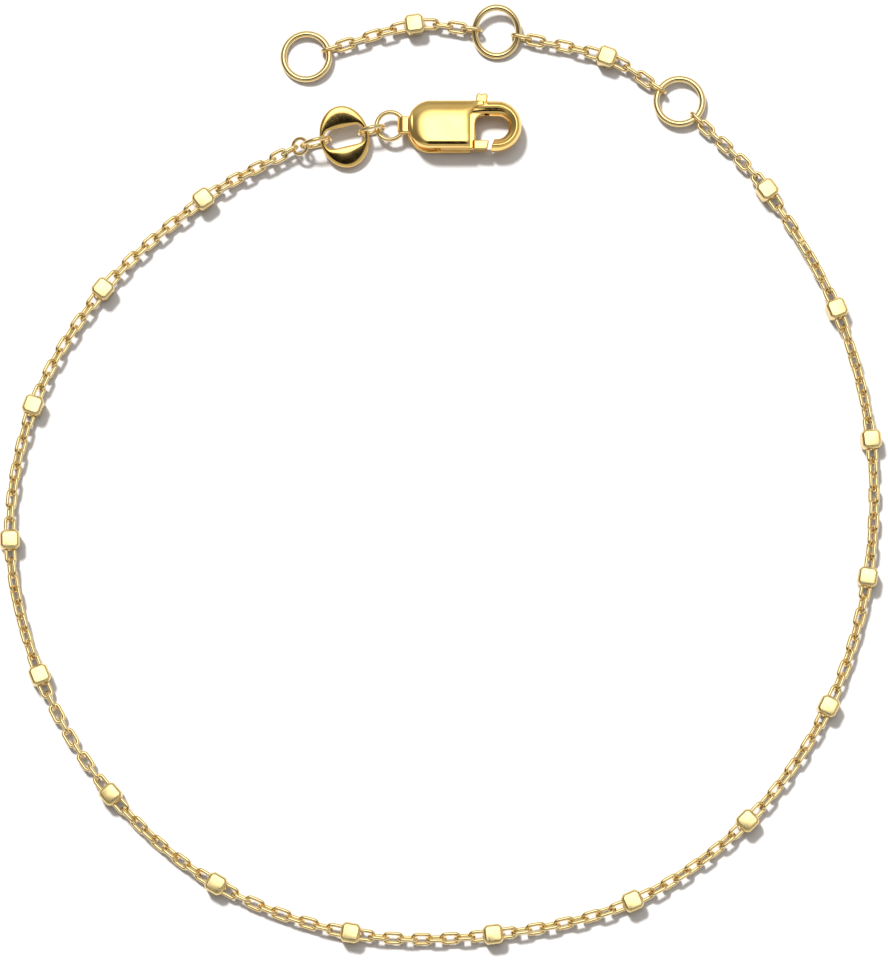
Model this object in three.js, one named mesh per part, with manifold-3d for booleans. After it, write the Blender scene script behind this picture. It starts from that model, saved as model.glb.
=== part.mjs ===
// A fine gold bracelet lying open on a table: a cable chain strung with cube beads, a lobster clasp
// with its jump rings and an open oval tag at one end, and three extender rings at the other.
// Millimetres, +Z up. It rests on z = 0, and the origin is under the middle of the whole piece.
import * as THREE from "three";
import { mergeVertices } from "three/addons/utils/BufferGeometryUtils.js";
import Module from "manifold-3d";

const wasm = await Module();
wasm.setup();

// ---- Driving dimensions ----

const GAP = 0.05; // between pieces that hang on each other
const BITE = 0.07; // how far soldered links sink into each other

const LINK = { wire: 0.22, width: 0.74, sides: 10, wireSides: 5 };
const FIRST_LINK = { ...LINK, width: 0.82 }; // room for the chain ring's wire
const END_LINK = { ...LINK, width: 0.98 }; // room for an extender ring's wire
const CORD = { sides: 8, steps: 78, endLinks: 2, pitch: 0.88 }; // the main chain's plain stretch
const CHAIN_REST = LINK.width / 2 + 0.01; // height of the chain's middle where it lies on the table

const BEAD = { size: 1.25, edge: 0.15, corner: 0.2, bore: 0.46, boreSides: 10 };
const BEAD_LINK = { ...LINK, reach: 1.03 }; // reach: from the bead's middle to that of the next link

const EXTENDER_RING = { outer: 3.4, wire: 0.42, sides: 20, wireSides: 6 };
const EXTENDER_LINKS = { before: 4, after: 6 }; // links on each side of an extender's bead
const CLASP_RING = { outer: 2.1, wire: 0.3, sides: 16, wireSides: 6, drop: 0.2 };
const NEAR_RING = { outer: 1.9, wire: 0.28, sides: 14, wireSides: 6 };
const FAR_RING = { outer: 2.15, wire: 0.28, sides: 14, wireSides: 6 };
const CHAIN_RING = { outer: 1.25, wire: 0.22, sides: 12, wireSides: 6, lean: 25 };

const TAG = { length: 3.2, height: 4.0, thickness: 0.42, bevel: 0.12, rim: 0.32, z: 0.87, lean: 12 };
const TAG_WINDOW = { height: 1.25, corner: 0.5 };

// The clasp's own frame: x from the body's tail to the hook, y towards the thumb tab, z up.
const CLASP = { width: 3.2, thickness: 1.95 };
const BODY = { length: 5.2, tailRadius: 1.45, noseRadius: 0.6, bulge: 0.55, wall: 0.2 };
const BAY = { left: 4.0, top: 1.3, radius: 0.85 }; // cut from the body's nose, for lever and opening
const HOOK = { root: 4.15, turn: 5.7, tip: 5.45, slant: 18, bar: 0.74, height: 1.15 };
const PIVOT = { x: 3.35, y: -0.6, pin: 0.2, end: 0.3 }; // end: from the body's face to the pin's end
const SLOT = { height: 0.72, heel: 1.78, ceiling: 1.15, tabFrom: 2.85, tabTo: 5.15 };
const LEVER = { thickness: 0.6, gateThickness: 1.0, heel: 1.95, back: 3.75, front: 4.33, tip: 5.2 };
const LEVER_SIDE = { outside: -1.57, gateTop: -0.85, heelTop: -1.15, slant: 0.13 };
const NECK = { frontTop: 0.4, backTop: 0.9, bend: [3.65, -0.15], shoulder: [2.85, -0.3] };
const TAB = { left: 4.35, right: 5.05, bottom: 1.25, dip: 0.15, heel: 1.45, top: 2.1, notch: 0.36 };
const EYE = { x: -0.28, z: 1.0, radius: 0.42, hole: 0.27, width: 0.66 }; // at the tail, bored along y

// ---- Places on the table ----

const CLASP_PLACE = { x: -2.3, y: 23.0 };
const ROW_HEADING = 193.5; // from the clasp's ring along the other rings and the tag, in degrees

// The main chain's beads, from the clasp round to the extender.
const MAIN_BEADS = [
  { x: -15.5, y: 18.2 },
  { x: -21.9, y: 12.3 },
  { x: -26.3, y: 4.7 },
  { x: -27.7, y: -4.0 },
  { x: -25.7, y: -12.7 },
  { x: -21.1, y: -20.3 },
  { x: -14.4, y: -26.0 },
  { x: -5.9, y: -29.1 },
  { x: 3.1, y: -29.2 },
  { x: 11.9, y: -27.1 },
  { x: 19.2, y: -22.0 },
  { x: 24.4, y: -14.7 },
  { x: 27.0, y: -6.4 },
  { x: 27.3, y: 2.5 },
  { x: 25.2, y: 11.0 },
  { x: 20.8, y: 18.8 },
];

// Extender rings: centre, how far each leans up towards a heading, in degrees, and how oval it is.
const EXTENDER_RINGS = [
  { name: "extender_ring_1", x: 15.2, y: 24.7, z: 0.52, lean: 0, towards: 0, oval: 0 },
  { name: "extender_ring_2", x: 3.4, y: 29.3, z: 0.58, lean: 12, towards: 90, oval: 0.05 },
  { name: "extender_ring_3", x: -8.9, y: 27.7, z: 0.37, lean: 5.5, towards: 18, oval: 0 },
];

// Where each extender's chain passes through its bead, between two rings.
const EXTENDER_BENDS = [
  { x: 10.5, y: 27.6 },
  { x: -1.9, y: 29.75 },
];

// ---- Materials ----

const gold = (colour, roughness) =>
  new THREE.MeshStandardMaterial({ color: colour, roughness, metalness: 1 });
const POLISHED_GOLD = gold(0xe9c465, 0.12);
const WIRE_GOLD = gold(0xe6c56c, 0.18);
const BEAD_GOLD = gold(0xf3dd8f, 0.22);

// ---- Solids ----

const radians = THREE.MathUtils.degToRad;
const vector = (x, y, z) => new THREE.Vector3(x, y, z);

// A closed geometry as a solid that can be joined and cut.
function solidFrom(geometry) {
  const bare = geometry.clone();
  bare.deleteAttribute("normal");
  bare.deleteAttribute("uv");
  const merged = mergeVertices(bare);
  return new wasm.Manifold(
    new wasm.Mesh({
      numProp: 3,
      vertProperties: merged.getAttribute("position").array,
      triVerts: new Uint32Array(merged.index.array),
    }),
  );
}

function meshFrom(name, solid, material) {
  const { vertProperties, triVerts } = solid.getMesh();
  const geometry = new THREE.BufferGeometry();
  geometry.setAttribute("position", new THREE.BufferAttribute(vertProperties, 3));
  geometry.setIndex(new THREE.BufferAttribute(triVerts, 1));
  geometry.computeVertexNormals();
  const mesh = new THREE.Mesh(geometry, material);
  mesh.name = name;
  return mesh;
}

function placed(name, solid, material, place) {
  const mesh = meshFrom(name, solid, material);
  mesh.applyMatrix4(place);
  return mesh;
}

const join = (solids) => solids.reduce((whole, solid) => whole.add(solid));

// A solid skin over level loops that all have the same number of points, with flat ends.
function loft(loops) {
  const count = loops[0].length;
  const positions = loops.flat().flatMap((p) => [p.x, p.y, p.z]);
  const faces = [];
  for (let level = 0; level < loops.length - 1; level++) {
    for (let i = 0; i < count; i++) {
      const [a, b] = [level * count + i, level * count + ((i + 1) % count)];
      faces.push(a, b, b + count, a, b + count, a + count);
    }
  }
  const top = (loops.length - 1) * count;
  for (let i = 1; i < count - 1; i++) {
    faces.push(0, i + 1, i, top, top + i, top + i + 1);
  }
  const geometry = new THREE.BufferGeometry();
  geometry.setAttribute("position", new THREE.Float32BufferAttribute(positions, 3));
  geometry.setIndex(faces);
  return solidFrom(geometry);
}

// Level loops of an outline that draws in towards the top and the bottom like a cushion.
function cushion(outline, thickness, bulge, wall, steps) {
  const half = [];
  for (let step = 0; step <= steps; step++) {
    const turn = ((step / steps) * Math.PI) / 2;
    half.push({
      inset: bulge * (1 - Math.cos(turn)),
      rise: wall / 2 + (thickness / 2 - wall / 2) * Math.sin(turn),
    });
  }
  const level = ({ inset, rise }, side) =>
    outline(inset).map((p) => vector(p.x, p.y, side * rise));
  return loft([
    ...half.toReversed().map((h) => level(h, -1)),
    ...half.map((h) => level(h, 1)),
  ]);
}

function roundedRectangle(x0, y0, x1, y1, leftRadius, rightRadius) {
  const shape = new THREE.Shape();
  shape.absarc(x1 - rightRadius, y0 + rightRadius, rightRadius, -Math.PI / 2, 0);
  shape.absarc(x1 - rightRadius, y1 - rightRadius, rightRadius, 0, Math.PI / 2);
  shape.absarc(x0 + leftRadius, y1 - leftRadius, leftRadius, Math.PI / 2, Math.PI);
  shape.absarc(x0 + leftRadius, y0 + leftRadius, leftRadius, Math.PI, 1.5 * Math.PI);
  return shape;
}

// The section of a round or oval bar, with flat sides.
function regularSection(sides, height, width) {
  const corners = Array.from({ length: sides }, (_, i) => {
    const turn = ((i + 0.5) / sides) * 2 * Math.PI;
    return new THREE.Vector2((height / 2) * Math.cos(turn), (width / 2) * Math.sin(turn));
  });
  return new THREE.Shape(corners);
}

// A shape pushed through the height between two levels.
function slab(shape, bottom, top, curveSegments = 6) {
  const geometry = new THREE.ExtrudeGeometry(shape, {
    depth: top - bottom,
    bevelEnabled: false,
    curveSegments,
  });
  return solidFrom(geometry.translate(0, 0, bottom));
}

// ---- Rings and links ----

const wireRadius = ({ outer, wire }) => (outer - wire) / 2;

function ringSolid(ring) {
  const { wire, sides, wireSides } = ring;
  return solidFrom(new THREE.TorusGeometry(wireRadius(ring), wire / 2, wireSides, sides));
}

// A link whose hole reaches `inner` from its middle: a ring pulled out along x.
function linkGeometry(link, inner) {
  const radius = (link.width - link.wire) / 2;
  const stretch = inner - (radius - link.wire / 2);
  const geometry = new THREE.TorusGeometry(radius, link.wire / 2, link.wireSides, link.sides);
  const position = geometry.getAttribute("position");
  for (let i = 0; i < position.count; i++) {
    position.setX(i, position.getX(i) + Math.sign(position.getX(i)) * stretch);
  }
  return geometry;
}

// Places a piece with x along a direction, y level, and then rolled about x.
function alongDirection(origin, direction, roll = 0) {
  const x = direction.clone().normalize();
  const y = vector(0, 0, 1).cross(x).normalize();
  const z = x.clone().cross(y);
  return new THREE.Matrix4()
    .makeBasis(x, y, z)
    .multiply(new THREE.Matrix4().makeRotationX(roll))
    .setPosition(origin);
}

// The middle line of a run of chain: a smooth curve through its knots, sagging to the table between.
class Route extends THREE.Curve {
  constructor(knots) {
    super();
    this.knots = knots;
    this.arcLengthDivisions = 100 * (knots.length - 1);
    const plan = knots.map((k) => vector(k.x, k.y, 0));
    this.plan = new THREE.CatmullRomCurve3(plan, false, "catmullrom", 0.5);
  }

  getPoint(t, target = new THREE.Vector3()) {
    const along = t * (this.knots.length - 1);
    const i = Math.min(Math.floor(along), this.knots.length - 2);
    const part = along - i;
    const [from, to] = [this.knots[i].z, this.knots[i + 1].z];
    const sag = Math.min(from, to) - CHAIN_REST;
    this.plan.getPoint(t, target);
    target.z =
      THREE.MathUtils.lerp(from, to, THREE.MathUtils.smoothstep(part, 0, 1)) -
      sag * Math.sin(Math.PI * part) ** 2;
    return target;
  }

  placeAt(distance, roll = 0) {
    const u = distance / this.getLength();
    return alongDirection(this.getPointAt(u), this.getTangentAt(u), roll);
  }
}

// The part of a route between two distances along it.
class Stretch extends THREE.Curve {
  constructor(route, from, to) {
    super();
    Object.assign(this, { route, from, to });
  }

  getPoint(t, target) {
    const distance = THREE.MathUtils.lerp(this.from, this.to, t);
    return this.route.getPointAt(distance / this.route.getLength(), target);
  }
}

// A link at a distance along a route.
const FLAT = 0;
const ON_EDGE = Math.PI / 2;
const linkSolid = (route, distance, roll, link, inner) =>
  solidFrom(linkGeometry(link, inner).applyMatrix4(route.placeAt(distance, roll)));

// Links from one that hangs on a ring, every other one on edge. A negative pitch runs back.
function linkRun(route, start, pitch, count, firstLink, inner) {
  return Array.from({ length: count }, (_, i) => {
    const [roll, link] = i % 2 ? [FLAT, LINK] : [ON_EDGE, i ? LINK : firstLink];
    return linkSolid(route, start + i * pitch, roll, link, inner);
  });
}

// How far an end link's middle lies beyond the wire that it hangs on.
const hookReach = (inner, ring) => inner - ring.wire / 2 - GAP;

// ---- Extender: two short chains between three rings ----

function ringPlace({ x, y, z, lean, towards }) {
  const heading = radians(towards);
  const axis = vector(Math.sin(heading), -Math.cos(heading), 0); // level, across the lean
  return new THREE.Matrix4().makeRotationAxis(axis, radians(lean)).setPosition(x, y, z);
}

// The point of a ring's wire that faces a place on the table.
function wirePoint(ring, towards) {
  const heading = Math.atan2(towards.y - ring.y, towards.x - ring.x);
  const radius = wireRadius(EXTENDER_RING);
  return vector((1 - ring.oval) * Math.cos(heading), (1 + ring.oval) * Math.sin(heading), 0)
    .multiplyScalar(radius)
    .applyMatrix4(ringPlace(ring));
}

function extenderRing(ring) {
  const solid = ringSolid(EXTENDER_RING).scale([1 - ring.oval, 1 + ring.oval, 1]);
  return placed(ring.name, solid, WIRE_GOLD, ringPlace(ring));
}

// A chain of real links from one ring through a bead to the next ring, and that bead.
function extenderChain(number, bend, from, to) {
  const { before, after } = EXTENDER_LINKS;
  const route = new Route([
    wirePoint(from, bend),
    vector(bend.x, bend.y, BEAD.size / 2),
    wirePoint(to, bend),
  ]);
  const pitches = before - 1 + after - 1;
  // total = 2 hooks + 2 reaches + pitches, where hook = (pitch - BITE) / 2 - wire / 2 - GAP
  const fixed = 2 * BEAD_LINK.reach - BITE - EXTENDER_RING.wire - 2 * GAP;
  const pitch = (route.getLength() - fixed) / (pitches + 1);
  const inner = (pitch - BITE) / 2;
  const beadLinkInner = BEAD_LINK.reach - BITE - inner;
  const first = hookReach(inner, EXTENDER_RING);
  const bead = first + (before - 1) * pitch + BEAD_LINK.reach;

  const last = route.getLength() - first;
  const chain = join([
    ...linkRun(route, first, pitch, before, END_LINK, inner),
    linkSolid(route, bead, ON_EDGE, BEAD_LINK, beadLinkInner),
    ...linkRun(route, last, -pitch, after, END_LINK, inner),
  ]);
  return [
    meshFrom(`extender_chain_${number}`, chain, WIRE_GOLD),
    beadMesh(MAIN_BEADS.length + number, route.placeAt(bead)),
  ];
}

// ---- Beads ----

function beadSolid() {
  const { size, edge, corner, bore, boreSides } = BEAD;
  let solid = solidFrom(new THREE.BoxGeometry(size, size, size));
  const acrossEdges = Math.SQRT2 * (size - edge);
  for (const turn of ["rotateX", "rotateY", "rotateZ"]) {
    const box = new THREE.BoxGeometry(acrossEdges, acrossEdges, acrossEdges);
    const long = { rotateX: [2, 1, 1], rotateY: [1, 2, 1], rotateZ: [1, 1, 2] }[turn];
    solid = solid.intersect(solidFrom(box.scale(...long)[turn](Math.PI / 4)));
  }
  const acrossCorners = 1.5 * size - 2 * edge - corner;
  solid = solid.intersect(solidFrom(new THREE.OctahedronGeometry(acrossCorners)));
  const drill = new THREE.CylinderGeometry(bore, bore, 2 * size, boreSides).rotateZ(Math.PI / 2);
  return solid.subtract(solidFrom(drill));
}

// A bead keeps level, whatever the slope of the chain in it.
function beadMesh(number, place) {
  const mesh = meshFrom(`bead_${String(number).padStart(2, "0")}`, beadSolid(), BEAD_GOLD);
  const direction = vector().setFromMatrixColumn(place, 0);
  const middle = vector().setFromMatrixPosition(place);
  mesh.position.set(middle.x, middle.y, BEAD.size / 2);
  mesh.rotation.z = Math.atan2(direction.y, direction.x);
  return mesh;
}

// ---- Main chain: a round cord of the chain's own width, with real links at each end ----

function mainChain(startKnot, endKnot) {
  const beads = MAIN_BEADS.map(({ x, y }) => vector(x, y, BEAD.size / 2));
  const route = new Route([startKnot, ...beads, endKnot]);
  const inner = (CORD.pitch - BITE) / 2;
  const overlap = inner + LINK.wire / 2;
  const starts = hookReach(inner, CHAIN_RING);
  const ends = route.getLength() - hookReach(inner, EXTENDER_RING);
  const section = regularSection(CORD.sides, LINK.width, LINK.width);
  const linked = (CORD.endLinks - 1) * CORD.pitch + overlap;
  const middle = new Stretch(route, starts + linked, ends - linked);
  const cord = new THREE.ExtrudeGeometry(section, { steps: CORD.steps, extrudePath: middle });
  const chain = join([
    solidFrom(cord),
    ...linkRun(route, starts, CORD.pitch, CORD.endLinks, FIRST_LINK, inner),
    ...linkRun(route, ends, -CORD.pitch, CORD.endLinks, END_LINK, inner),
  ]);
  return [
    meshFrom("main_chain", chain, WIRE_GOLD),
    ...beads.map((bead, i) => {
      const tangent = route.getTangent((i + 1) / (beads.length + 1));
      return beadMesh(i + 1, alongDirection(bead, tangent));
    }),
  ];
}

// ---- Tag and the rings that carry it, in a row from the ring in the clasp's eye ----

const ROW_DIRECTION = vector(
  Math.cos(radians(ROW_HEADING)),
  Math.sin(radians(ROW_HEADING)),
  0,
);

// How far out from its middle a flat-sided ring's hole is clear.
const clearHole = ({ outer, wire, sides }) => (outer / 2 - wire) * Math.cos(Math.PI / sides);

// From the middle of an upright ring to the middle of a bar that hangs in it at a height.
function reachToBar(ring, barHeight, barLength, barZ) {
  const room = clearHole(ring) - GAP;
  const drop = barHeight / 2 + Math.abs(ring.outer / 2 - barZ);
  return Math.sqrt(room ** 2 - drop ** 2) - barLength / 2;
}

// Distances along the row from the middle of the clasp ring.
function rowDistances() {
  const claspRingLow = NEAR_RING.outer / 2 - CLASP_RING.drop;
  const claspRingLean = Math.asin((EYE.z - claspRingLow) / (2 * wireRadius(CLASP_RING)));
  const lowWire = wireRadius(CLASP_RING) * Math.cos(claspRingLean);
  const rimToMiddle = (TAG.length - TAG.rim) / 2;

  const nearRing = lowWire + reachToBar(NEAR_RING, CLASP_RING.wire, CLASP_RING.wire, claspRingLow);
  const tag = nearRing + reachToBar(NEAR_RING, TAG.thickness, TAG.rim, TAG.z) + rimToMiddle;
  const farRing = tag + rimToMiddle + reachToBar(FAR_RING, TAG.thickness, TAG.rim, TAG.z);
  const chainRing =
    farRing +
    wireRadius(FAR_RING) +
    wireRadius(CHAIN_RING) * Math.cos(radians(CHAIN_RING.lean)) -
    (FAR_RING.wire + CHAIN_RING.wire) / 2 -
    2 * GAP;
  return { claspRingLean, nearRing, tag, farRing, chainRing };
}
const ROW = rowDistances();

// The clasp ring hangs straight behind the eye.
const claspRingReach = wireRadius(CLASP_RING) * Math.cos(ROW.claspRingLean);
const rowStart = vector(CLASP_PLACE.x + EYE.x - claspRingReach, CLASP_PLACE.y, 0);
const onRow = (distance, z) => rowStart.clone().addScaledVector(ROW_DIRECTION, distance).setZ(z);

// A ring across the row whose far side is the lower one, with this lean in radians.
const slopingPlace = (middle, lean) =>
  alongDirection(middle, ROW_DIRECTION).multiply(new THREE.Matrix4().makeRotationY(lean));

const claspRingPlace = () => {
  const drop = wireRadius(CLASP_RING) * Math.sin(ROW.claspRingLean);
  return slopingPlace(onRow(0, EYE.z - drop), ROW.claspRingLean);
};

const chainRingPlace = () =>
  slopingPlace(onRow(ROW.chainRing, FAR_RING.outer / 2), radians(CHAIN_RING.lean));

// The low side of the ring that the main chain hangs on.
const chainStart = () => vector(wireRadius(CHAIN_RING), 0, 0).applyMatrix4(chainRingPlace());

const uprightPlace = (distance, ring) =>
  alongDirection(onRow(distance, ring.outer / 2), ROW_DIRECTION, ON_EDGE);

function tagSolid() {
  const { length, height, thickness, bevel, rim } = TAG;
  const oval = (inset) =>
    new THREE.EllipseCurve(0, 0, length / 2 - inset, height / 2 - inset).getPoints(28).slice(0, -1);
  const plate = cushion(oval, thickness, bevel, thickness - 2 * bevel, 2);
  const reach = length / 2 - rim;
  const side = TAG_WINDOW.height / 2;
  const window = roundedRectangle(-reach, -side, reach, side, TAG_WINDOW.corner, TAG_WINDOW.corner);
  return plate.subtract(slab(window, -thickness, thickness, 3));
}

function tagRow() {
  // x runs away from the clasp here, so a negative roll lifts the tag's side outside the loop
  const tagPlace = alongDirection(onRow(ROW.tag, TAG.z), ROW_DIRECTION, -radians(TAG.lean));
  return [
    placed("clasp_ring", ringSolid(CLASP_RING), WIRE_GOLD, claspRingPlace()),
    placed("tag_ring_near", ringSolid(NEAR_RING), WIRE_GOLD, uprightPlace(ROW.nearRing, NEAR_RING)),
    placed("tag", tagSolid(), POLISHED_GOLD, tagPlace),
    placed("tag_ring_far", ringSolid(FAR_RING), WIRE_GOLD, uprightPlace(ROW.farRing, FAR_RING)),
    placed("chain_ring", ringSolid(CHAIN_RING), WIRE_GOLD, chainRingPlace()),
  ];
}

// ---- Clasp ----

const CLASP_MIDDLE = CLASP.thickness / 2;
const SIDE = CLASP.width / 2;

// A flat piece of this thickness, lying half-way up the clasp.
const midSlab = (shape, thickness, curveSegments) =>
  slab(shape, CLASP_MIDDLE - thickness / 2, CLASP_MIDDLE + thickness / 2, curveSegments);

function claspCushion() {
  const { length, tailRadius, noseRadius, bulge, wall } = BODY;
  const outline = (inset) =>
    roundedRectangle(
      inset,
      inset - SIDE,
      length - inset,
      SIDE - inset,
      tailRadius - inset,
      noseRadius - inset,
    ).getPoints(3);
  return cushion(outline, CLASP.thickness, bulge, wall, 4).translate([0, 0, CLASP_MIDDLE]);
}

function bayCutter() {
  const { left, top, radius } = BAY;
  const shape = new THREE.Shape();
  shape.moveTo(left, -CLASP.width);
  shape.lineTo(BODY.length + 1, -CLASP.width);
  shape.lineTo(BODY.length + 1, top);
  shape.absarc(left + radius, top - radius, radius, Math.PI / 2, Math.PI);
  return midSlab(shape, CLASP.thickness + 1, 6);
}

function claspHook() {
  const radius = SIDE - HOOK.bar / 2;
  const middle = new THREE.Path();
  middle.moveTo(HOOK.root, radius);
  middle.lineTo(HOOK.turn, radius);
  middle.absarc(HOOK.turn, 0, radius, Math.PI / 2, -Math.PI / 2, true);
  middle.lineTo(HOOK.tip - HOOK.bar, -radius);
  const points = middle.getSpacedPoints(24).map((p) => vector(p.x, p.y, CLASP_MIDDLE));
  const bar = new THREE.ExtrudeGeometry(regularSection(10, HOOK.height, HOOK.bar), {
    steps: 26,
    extrudePath: new THREE.CatmullRomCurve3(points),
  });
  const beyondTip = new THREE.BoxGeometry(2, 2, 2)
    .translate(-1, 0, 0)
    .rotateZ(-radians(HOOK.slant))
    .translate(HOOK.tip, -radius, CLASP_MIDDLE);
  return solidFrom(bar).subtract(solidFrom(beyondTip));
}

// Room for the lever between the body's two faces, open along the side and at the thumb tab.
function slotCutter() {
  const { height, heel, ceiling, tabFrom, tabTo } = SLOT;
  const shape = new THREE.Shape();
  shape.moveTo(heel + LEVER_SIDE.slant, -CLASP.width);
  shape.lineTo(BODY.length, -CLASP.width);
  shape.lineTo(BODY.length, 0);
  shape.lineTo(tabTo, ceiling);
  shape.lineTo(tabTo, CLASP.width);
  shape.lineTo(tabFrom, CLASP.width);
  shape.lineTo(tabFrom, ceiling);
  shape.lineTo(heel, ceiling);
  shape.lineTo(heel, LEVER_SIDE.outside);
  return midSlab(shape, height);
}

// An upright pin, or the hole for one, at the lever's pivot.
function pinSolid(clearance) {
  const length = CLASP.thickness - 2 * PIVOT.end + 2 * clearance;
  const pin = new THREE.CylinderGeometry(PIVOT.pin + clearance, PIVOT.pin + clearance, length, 12);
  return solidFrom(pin.rotateX(Math.PI / 2));
}

const alongY = (radius, length, x, z, sides = 16) =>
  new THREE.CylinderGeometry(radius, radius, length, sides).translate(x, 0, z);

function claspBody() {
  const { x, z, radius, hole, width } = EYE;
  const neck = new THREE.BoxGeometry(BODY.tailRadius - x, width, 2 * radius)
    .translate((BODY.tailRadius + x) / 2, 0, z);
  const whole = join([
    claspCushion().subtract(bayCutter()),
    claspHook(),
    solidFrom(alongY(radius, width, x, z)),
    solidFrom(neck),
  ]);
  const pivot = [PIVOT.x, PIVOT.y, CLASP_MIDDLE];
  return whole
    .subtract(slotCutter())
    .subtract(pinSolid(GAP).translate(pivot))
    .subtract(solidFrom(alongY(hole, 2 * width, x, z)));
}

// The gate that closes the opening, the arm with its pivot, and the thumb tab, in one piece.
function claspLever() {
  const { heel, back, front, tip } = LEVER;
  const { outside, gateTop, heelTop, slant } = LEVER_SIDE;
  const thumbTab = (shape) => {
    shape.quadraticCurveTo(front, TAB.bottom - TAB.dip, TAB.right, TAB.bottom);
    shape.lineTo(TAB.right, TAB.top);
    shape.quadraticCurveTo((TAB.left + TAB.right) / 2, TAB.top - TAB.notch, TAB.left, TAB.top);
    shape.lineTo(TAB.left, TAB.heel);
  };
  const arm = new THREE.Shape();
  arm.moveTo(heel + slant, outside);
  arm.lineTo(tip - slant, outside);
  arm.lineTo(tip, gateTop);
  arm.lineTo(front, gateTop);
  arm.lineTo(front, NECK.frontTop);
  thumbTab(arm);
  arm.lineTo(back, NECK.backTop);
  arm.quadraticCurveTo(...NECK.bend, ...NECK.shoulder);
  arm.lineTo(heel, heelTop);
  const gate = new THREE.Shape();
  gate.moveTo(front + GAP, outside);
  gate.lineTo(tip - slant, outside);
  gate.lineTo(tip, gateTop);
  gate.lineTo(front + GAP, gateTop);
  return join([midSlab(arm, LEVER.thickness, 5), midSlab(gate, LEVER.gateThickness)])
    .translate([-PIVOT.x, -PIVOT.y, 0])
    .subtract(pinSolid(GAP).translate([0, 0, CLASP_MIDDLE]));
}

function clasp() {
  const group = new THREE.Group();
  const lever = meshFrom("clasp_lever", claspLever(), POLISHED_GOLD);
  lever.position.set(PIVOT.x, PIVOT.y, 0);
  const pin = meshFrom("clasp_pin", pinSolid(0), POLISHED_GOLD);
  pin.position.set(PIVOT.x, PIVOT.y, CLASP_MIDDLE);
  group.add(meshFrom("clasp_body", claspBody(), POLISHED_GOLD), lever, pin);
  group.position.set(CLASP_PLACE.x, CLASP_PLACE.y, 0);
  return group;
}

// ---- The whole bracelet ----

const [ring1, ring2, ring3] = EXTENDER_RINGS;
const [bend1, bend2] = EXTENDER_BENDS;

const bracelet = new THREE.Group();
bracelet.add(
  clasp(),
  ...tagRow(),
  ...mainChain(chainStart(), wirePoint(ring1, MAIN_BEADS.at(-1))),
  ...EXTENDER_RINGS.map(extenderRing),
  ...extenderChain(1, bend1, ring1, ring2),
  ...extenderChain(2, bend2, ring2, ring3),
);

// The origin goes under the middle of the piece's box.
const box = new THREE.Box3().setFromObject(bracelet, true);
const middle = box.getCenter(vector());
bracelet.position.set(-middle.x, -middle.y, -box.min.z);

export default bracelet;
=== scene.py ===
"""A fine gold cable-chain bracelet strung with cube beads, lying open on a pale table.

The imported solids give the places: the beads' middles, the rings' planes and the boxes of the
clasp and the tag. This file dresses them with real interlocking links, smooth wire, a cast
clasp and a domed open tag. It models in millimetres and scales each finished mesh to metres.
"""

import math
import random

import bmesh
import bpy
import numpy as np
from bpy.props import FloatProperty, FloatVectorProperty, IntProperty, PointerProperty
from mathutils import Matrix, Vector


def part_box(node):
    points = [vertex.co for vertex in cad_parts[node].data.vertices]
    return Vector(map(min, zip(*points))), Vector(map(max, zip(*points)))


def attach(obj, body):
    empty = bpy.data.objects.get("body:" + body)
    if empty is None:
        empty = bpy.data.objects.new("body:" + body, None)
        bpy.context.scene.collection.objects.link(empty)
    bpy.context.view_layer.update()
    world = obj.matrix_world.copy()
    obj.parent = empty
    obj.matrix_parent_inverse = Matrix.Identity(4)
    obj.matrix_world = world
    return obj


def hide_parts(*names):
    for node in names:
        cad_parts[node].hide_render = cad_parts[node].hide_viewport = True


bl_info = {
    "name": "Cable Chain Bracelet",
    "version": (1, 0, 0),
    "blender": (4, 5, 0),
    "location": "View3D > Sidebar > Bracelet",
    "description": "Builds a gold chain bracelet with cube beads round its packed solids",
    "category": "Add Mesh",
}

MM = 0.001
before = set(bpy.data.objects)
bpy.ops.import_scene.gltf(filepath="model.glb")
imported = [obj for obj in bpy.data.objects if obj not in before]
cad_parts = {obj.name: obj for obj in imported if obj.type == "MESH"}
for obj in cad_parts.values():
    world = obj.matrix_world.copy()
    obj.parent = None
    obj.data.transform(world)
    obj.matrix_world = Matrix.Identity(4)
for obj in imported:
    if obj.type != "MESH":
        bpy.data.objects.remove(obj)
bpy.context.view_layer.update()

MAIN_BEADS = [f"bead_{number:02d}" for number in range(1, 17)]
RUNS = [
    ("main_chain", "chain_ring", MAIN_BEADS, "extender_ring_1"),
    ("extender_chain_1", "extender_ring_1", ["bead_17"], "extender_ring_2"),
    ("extender_chain_2", "extender_ring_2", ["bead_18"], "extender_ring_3"),
]
RINGS = ["clasp_ring", "tag_ring_near", "tag_ring_far", "chain_ring"]
RINGS += [f"extender_ring_{number}" for number in range(1, 4)]


# ---- Sizes and colours that a user may change ----


def size(name, millimetres, description):
    kind = {"subtype": "DISTANCE", "unit": "LENGTH", "min": 0.0, "precision": 6}
    return FloatProperty(name=name, description=description, default=millimetres * MM, **kind)


def colour(name, value, description):
    kind = {"subtype": "COLOR", "size": 3, "min": 0.0, "max": 1.0}
    return FloatVectorProperty(name=name, description=description, default=value, **kind)


def share(name, value, description, most=1.0):
    return FloatProperty(name=name, description=description, default=value, min=0.0, max=most)


def angle(name, degrees, description):
    kind = {"subtype": "ANGLE", "unit": "ROTATION", "default": math.radians(degrees)}
    return FloatProperty(name=name, description=description, **kind)


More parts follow.
